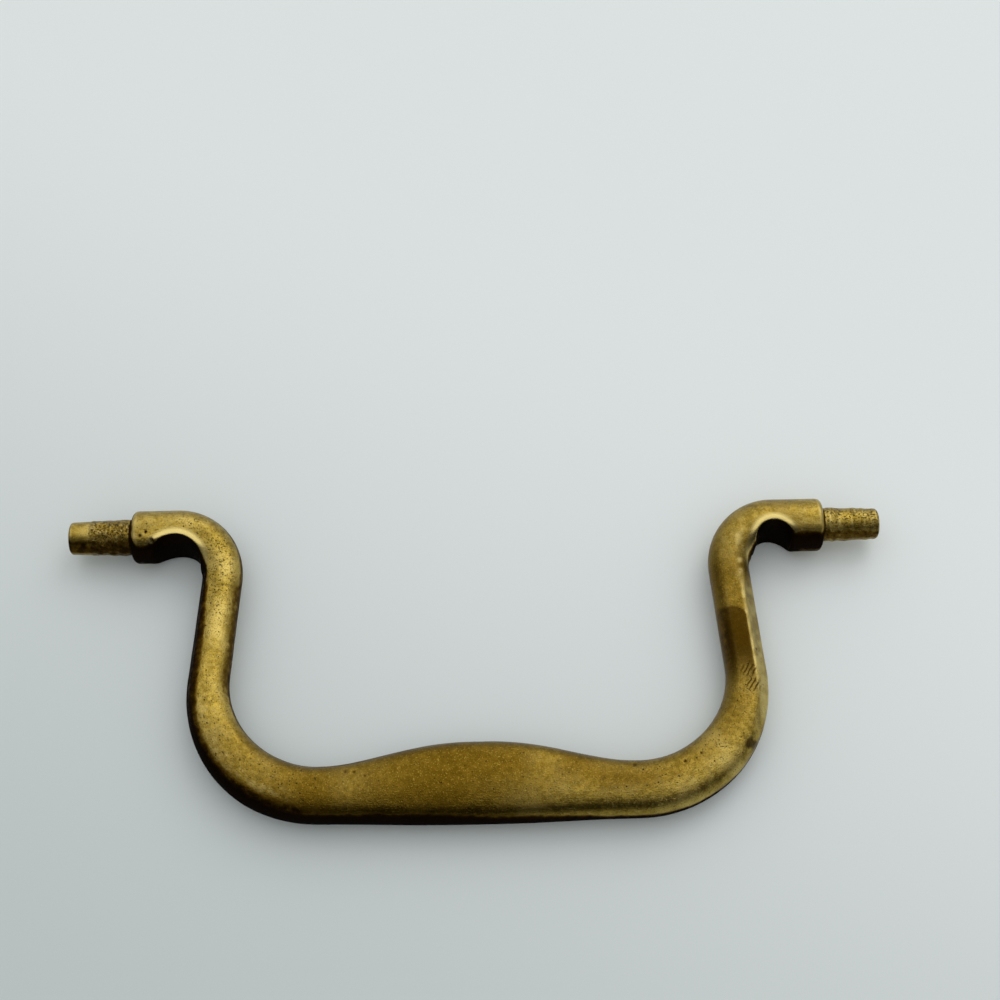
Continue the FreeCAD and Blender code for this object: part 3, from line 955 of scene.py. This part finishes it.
@dataclass(frozen=True)
class TarnishedCastBrass:
    """Yellow brass, sand-cast, filed by hand and left bare. Sizes and reliefs are in millimetres."""

    # That gives the eye a satin gold which is nowhere even: bright where hands and edges rub and where
    # highlights are painted on ridges and notch rims, olive to brown with patina on the grip, dull black with
    # grime and painted shade on the flanks, and freckled with casting pits.
    light: str = "C6AE5E"
    mid: str = "B09642"
    olive: str = "86702A"
    patina: str = "664E12"
    dark_patina: str = "57420A"
    # Rubbed metal, also used for painted highlights.
    rubbed: str = "DCC880"
    # Tan, brown and near black go from light to heavy grime and painted shade; brown is also used for stains and
    # scratches.
    tan: str = "6A5014"
    brown: str = "342203"
    grime_and_shade: str = "1A1005"
    pit: str = "35240C"
    cloud_size: float = 3.57
    mottle_size: float = 0.769
    fleck_size: float = 0.263
    # The grain of casting sand is finer than this, which is as coarse as it needs to be to show.
    grain_size: float = 0.182
    pit_gap: float = 0.435
    # Least radius of a pit and the spread above it, as shares of the gap.
    pit_radii: tuple[float, float] = (0.06, 0.2)
    file_mark_length: float = 2.0
    file_mark_width: float = 0.167
    scratch_gap: float = 0.524
    scratch_turn: float = -1.05
    raggedness: float = 0.38
    roughness: tuple[float, float] = (0.32, 0.44)
    grimy_metallic: float = 0.9
    dulled_by_grime: float = 0.12
    smoothed_by_wear: float = 0.1
    mark_relief: float = 0.016
    grain_relief: float = 0.035
    mottle_relief: float = 0.03
    pit_relief: float = 0.05
    relief_left_by_wear: float = 0.35

    def patterns(self, tree: Tree) -> Sockets:
        """Adds the noises, pits and borders that the colour and the relief are made from.

        Args:
            tree: the material's nodes.

        Returns:
            Sockets by name, with the wear map's shares among them.
        """
        add = partial(add_node, tree)
        maps = {name: add("Attribute", {"attribute_name": name}, output="Fac") for name in WearMap.NAMES}
        place = add("TexCoord", output="Object")
        place = add("VectorMath", {"operation": "SCALE"}, {0: place, "Scale": 1.0 / MM})
        marks = add("Mapping", inputs={
            "Vector": add("UVMap", {"uv_map": "flow"}),
            "Scale": (1.0 / self.file_mark_length, 1.0 / self.file_mark_width, 1.0)})
        for name, vector, size, detail in (
                ("cloud", place, self.cloud_size, 4.0), ("mottle", place, self.mottle_size, 4.0),
                ("grain", place, self.grain_size, 2.0), ("fleck", place, self.fleck_size, 4.0),
                ("marks", marks, 1.0, 3.0)):
            maps[name] = add("TexNoise", inputs={
                "Vector": vector, "Scale": 1.0 / size, "Detail": detail, "Roughness": 0.6})
        cells = add("TexVoronoi", inputs={"Vector": place, "Scale": 1.0 / self.pit_gap})
        chance = add("SeparateColor", inputs=(cells.node.outputs["Color"],)).node.outputs
        chosen = add(*EASED, (add(*MINUS, (maps["pitted"], chance[0])), 0.0, 0.3))
        least, spread = self.pit_radii
        radius = add(*TIMES_PLUS, (chance[1], spread, least))
        depth = add(*EASED, (add(*MINUS, (radius, cells)), -0.06, 0.12))
        blotch = add(*TIMES_PLUS, (maps["pitted"], 0.2, maps["fleck"]))
        blotch = add(*EASED, (blotch, 0.69, 0.8))
        maps["pit"] = add(*LARGER, (add(*TIMES, (depth, chosen)), blotch))
        ragged = add(*TIMES_PLUS, (maps["mottle"], self.raggedness, -self.raggedness / 2.0))
        # Ragged borders for grime and painted shade, stains and scratches.
        for name, share, low, high in (
                ("dirt_and_shade", "tarnish", 0.12, 0.75), ("patch", "stain", 0.15, 0.95),
                ("strokes", "scored", 0.0, 0.9)):
            maps[name] = add(*EASED, (add(*PLUS, (maps[share], ragged)), low, high))
        slant = add("Mapping", inputs={"Vector": place, "Rotation": (0.0, 0.0, self.scratch_turn)})
        bands = add("TexWave", {"bands_direction": "Y"}, {
            "Vector": slant, "Scale": math.tau / WAVE_TURN / self.scratch_gap,
            "Distortion": 4.0, "Detail": 3.0, "Detail Scale": 1.2}, "Fac")
        cuts = add(*EASED, (bands, 0.4, 0.85))
        maps["scratch"] = add(*TIMES, (maps["strokes"], cuts))
        maps["settled"] = add(*TIMES_PLUS, (maps["cloud"], 0.3, maps["patina"]))
        maps["dull"] = add(*LARGER, (maps["dirt_and_shade"], add(*TIMES, (maps["pit"], 0.8))))
        return maps

    def coloured(self, tree: Tree, maps: Sockets, ground: str, coats: tuple[Coat, ...]) -> Socket:
        """Lays coats of colour over a ground.

        Args:
            tree: the material's nodes.
            maps: patterns by name.
            ground: colour under them.
            coats: the coats, from the first to the last.

        Returns:
            The colour.
        """
        colour = linear(ground)
        for coat in coats:
            span = (maps[coat.pattern], coat.low, coat.high, 0.0, coat.most)
            share = add_node(tree, *coat.course, span)
            tone = linear(coat.tone) if isinstance(coat.tone, str) else coat.tone
            colour = add_node(tree, *BLEND, {"Factor": share, "A": colour, "B": tone}, "Result")
        return colour

    def material(self) -> bpy.types.Material:
        """Makes the material.

        Returns:
            The brass.
        """
        made = bpy.data.materials.new("cast_brass_tarnished")
        tree = emptied(made)
        add = partial(add_node, tree)
        maps = self.patterns(tree)
        aged = self.coloured(tree, maps, self.dark_patina, (
            Coat("mottle", 0.35, 0.68, 1.0, self.patina), Coat("grain", 0.55, 0.75, 0.5, self.mid)))
        colour = self.coloured(tree, maps, self.olive, (
            Coat("mottle", 0.35, 0.68, 1.0, self.mid),
            Coat("cloud", 0.42, 0.7, 1.0, self.light),
            Coat("fleck", 0.56, 0.68, 0.55, self.rubbed),
            Coat("grain", 0.46, 0.3, 0.75, self.patina),
            Coat("settled", 0.2, 1.1, 1.0, aged),
            # Wear, with painted highlights on ridges, notch rims and the left bend.
            Coat("wear", 0.0, 1.0, 0.8, self.rubbed, EVEN),
            Coat("patch", 0.0, 1.0, 0.85, self.brown, EVEN),
            Coat("scratch", 0.0, 1.0, 0.85, self.brown, EVEN),
            # Grime and painted shade, from tan through brown to near black.
            Coat("dirt_and_shade", 0.0, 0.3, 1.0, self.tan),
            Coat("dirt_and_shade", 0.15, 0.6, 1.0, self.brown),
            Coat("dirt_and_shade", 0.4, 1.0, 1.0, self.grime_and_shade),
            Coat("pit", 0.0, 1.0, 0.85, self.pit, EVEN),
        ))
        # Reflections are tinted brown under grime and painted shade.
        tints = {"Factor": maps["dirt_and_shade"], "A": linear("FFFFFF"), "B": linear(self.brown)}
        sheen = add(*BLEND, tints, "Result")
        rough = add(*EASED, (maps["cloud"], 0.3, 0.7, *self.roughness))
        rough = add(*TIMES_PLUS, (maps["dull"], self.dulled_by_grime, rough))
        rough = add(*TIMES_PLUS, (maps["wear"], -self.smoothed_by_wear, rough))
        height = add(*TIMES, (maps["marks"], self.mark_relief))
        height = add(*TIMES_PLUS, (maps["grain"], self.grain_relief, height))
        height = add(*TIMES_PLUS, (maps["mottle"], self.mottle_relief, height))
        left_on = add(*EASED, (maps["wear"], 0.0, 1.0, 1.0, self.relief_left_by_wear))
        height = add(*TIMES, (height, left_on))
        height = add(*TIMES_PLUS, (maps["pit"], -self.pit_relief, height))
        shader = add("BsdfPrincipled", inputs={
            "Base Color": colour, "Roughness": rough, "Specular Tint": sheen,
            "Metallic": add(*EASED, (maps["dull"], 0.0, 1.0, 1.0, self.grimy_metallic)),
            "Normal": add("Bump", inputs={"Height": height, "Distance": MM, "Strength": 1.0})})
        add("OutputMaterial", inputs={"Surface": shader})
        return made


@dataclass(frozen=True)
class PaintedTabletop:
    """White paint, rubbed smooth. Places are in metres."""

    # That gives the eye a pale, dull ground, with painted shade that makes it a little cooler and darker on the
    # viewer's side.
    white: str = "EBF2F1"
    # Colour of the painted shade.
    shade: str = "C6D0CF"
    painted_shade_way: Place = (0.5, 0.87, 0.0)
    painted_shade_ramp: tuple[float, float] = (-0.08, 0.06)
    roughness: float = 0.6

    def material(self) -> bpy.types.Material:
        """Makes the material.

        Returns:
            The paint.
        """
        made = bpy.data.materials.new("painted_tabletop")
        add = partial(add_node, emptied(made))
        place = add("TexCoord", output="Object")
        lean = add(*DOT, (place, self.painted_shade_way), "Value")
        share = add(*EASED, (lean, *self.painted_shade_ramp))
        tones = {"Factor": share, "A": linear(self.shade), "B": linear(self.white)}
        tone = add(*BLEND, tones, "Result")
        shader = add("BsdfPrincipled", inputs={"Base Color": tone, "Roughness": self.roughness})
        add("OutputMaterial", inputs={"Surface": shader})
        return made


@dataclass(frozen=True)
class Studio:
    """Pale tabletop, soft light and the photo's point of view.

    Places are in metres. A ramp has the two ends of what it is read by, and then the light at each end.
    """

    floor_half: float = 6.0
    dome_way: Place = (0.12, 0.5, 0.85)
    sky_ramp: tuple[float, ...] = (0.05, 1.02, 0.06, 1.0)
    viewer_ramp: tuple[float, ...] = (-0.42, 0.02, 0.06, 1.75)
    horizon_ramp: tuple[float, ...] = (0.05, 0.1, 0.7, 0.0)
    floor_ramp: tuple[float, ...] = (-0.2, 1.0, 0.57, 1.07)
    lamp_place: Place = (0.35, 0.55, 0.6)
    lamp_width: float = 0.6
    lamp_power: float = 1.0
    lens_mm: float = 61.2
    sensor_mm: float = 36.0
    eye_place: Place = (0.00119, -0.08112, 0.2042)
    eye_tilt: float = math.radians(27.3)
    eye_turn: float = math.radians(-1.2)

    def tabletop(self) -> bpy.types.Object:
        """Makes the surface that the bail lies on.

        Returns:
            The floor.
        """
        half = self.floor_half
        mesh = bpy.data.meshes.new("tabletop")
        corners = [(-half, -half, 0), (half, -half, 0), (half, half, 0), (-half, half, 0)]
        mesh.from_pydata(corners, [], [(0, 1, 2, 3)])
        mesh.materials.append(PaintedTabletop().material())
        return placed("tabletop", mesh)

    def dome(self) -> None:
        """Lights the scene all round: dim towards the viewer for the metal, more even for the floor."""
        world = bpy.data.worlds.new("studio")
        add = partial(add_node, emptied(world))
        way = add("TexCoord", output="Generated")
        axes = add("SeparateXYZ", inputs=(way,)).node.outputs
        top = Vector(self.dome_way).normalized()
        lean = add(*DOT, (way, top), "Value")
        sky = add(*EASED, (lean, *self.sky_ramp))
        shade = add(*EASED, (axes["Y"], *self.viewer_ramp))
        horizon = add(*EASED, (axes["Z"], *self.horizon_ramp))
        shown = add(*LARGER, (add(*TIMES, (sky, shade)), horizon))
        even = add(*EASED, (lean, *self.floor_ramp))
        rays = add("LightPath").node.outputs
        seen = add(*LARGER, (rays["Is Camera Ray"], rays["Is Glossy Ray"]))
        seen = add(*LARGER, (seen, rays["Is Transmission Ray"]))
        strength = add("Mix", inputs={"Factor": seen, "A": even, "B": shown}, output="Result")
        add("OutputWorld", inputs={"Surface": add("Background", inputs={"Strength": strength})})
        bpy.context.scene.world = world

    def lamp(self) -> None:
        """Adds one large soft lamp overhead."""
        lamp = bpy.data.lights.new("overhead", "AREA")
        lamp.shape = "DISK"
        lamp.size = self.lamp_width
        lamp.energy = self.lamp_power
        body = placed("overhead", lamp)
        body.location = self.lamp_place
        body.rotation_euler = Vector(self.lamp_place).to_track_quat("Z", "Y").to_euler()

    def camera(self) -> None:
        """Sets the camera where the photo was taken from."""
        lens = bpy.data.cameras.new("camera")
        lens.lens = self.lens_mm
        lens.sensor_width = self.sensor_mm
        lens.clip_start = 0.01
        eye = placed("camera", lens)
        eye.location = self.eye_place
        eye.rotation_euler = (self.eye_tilt, 0.0, self.eye_turn)
        bpy.context.scene.camera = eye
        bpy.context.scene.view_settings.view_transform = "Standard"


def main() -> None:
    """Builds the bail, its surroundings and the camera."""
    logging.basicConfig(level=logging.INFO)
    pin = frame["record"]["mounts"][0]["pos_m"]
    piece = SwanNeckBail(pin_height=pin[2] / MM, pin_across=pin[1] / MM).build()
    piece.data.materials.append(TarnishedCastBrass().material())
    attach(piece, "root")
    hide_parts("bail")
    LOG.info("%s: %d faces", piece.name, len(piece.data.polygons))
    studio = Studio()
    studio.tabletop()
    studio.dome()
    studio.lamp()
    studio.camera()


if __name__ == "__main__":
    main()
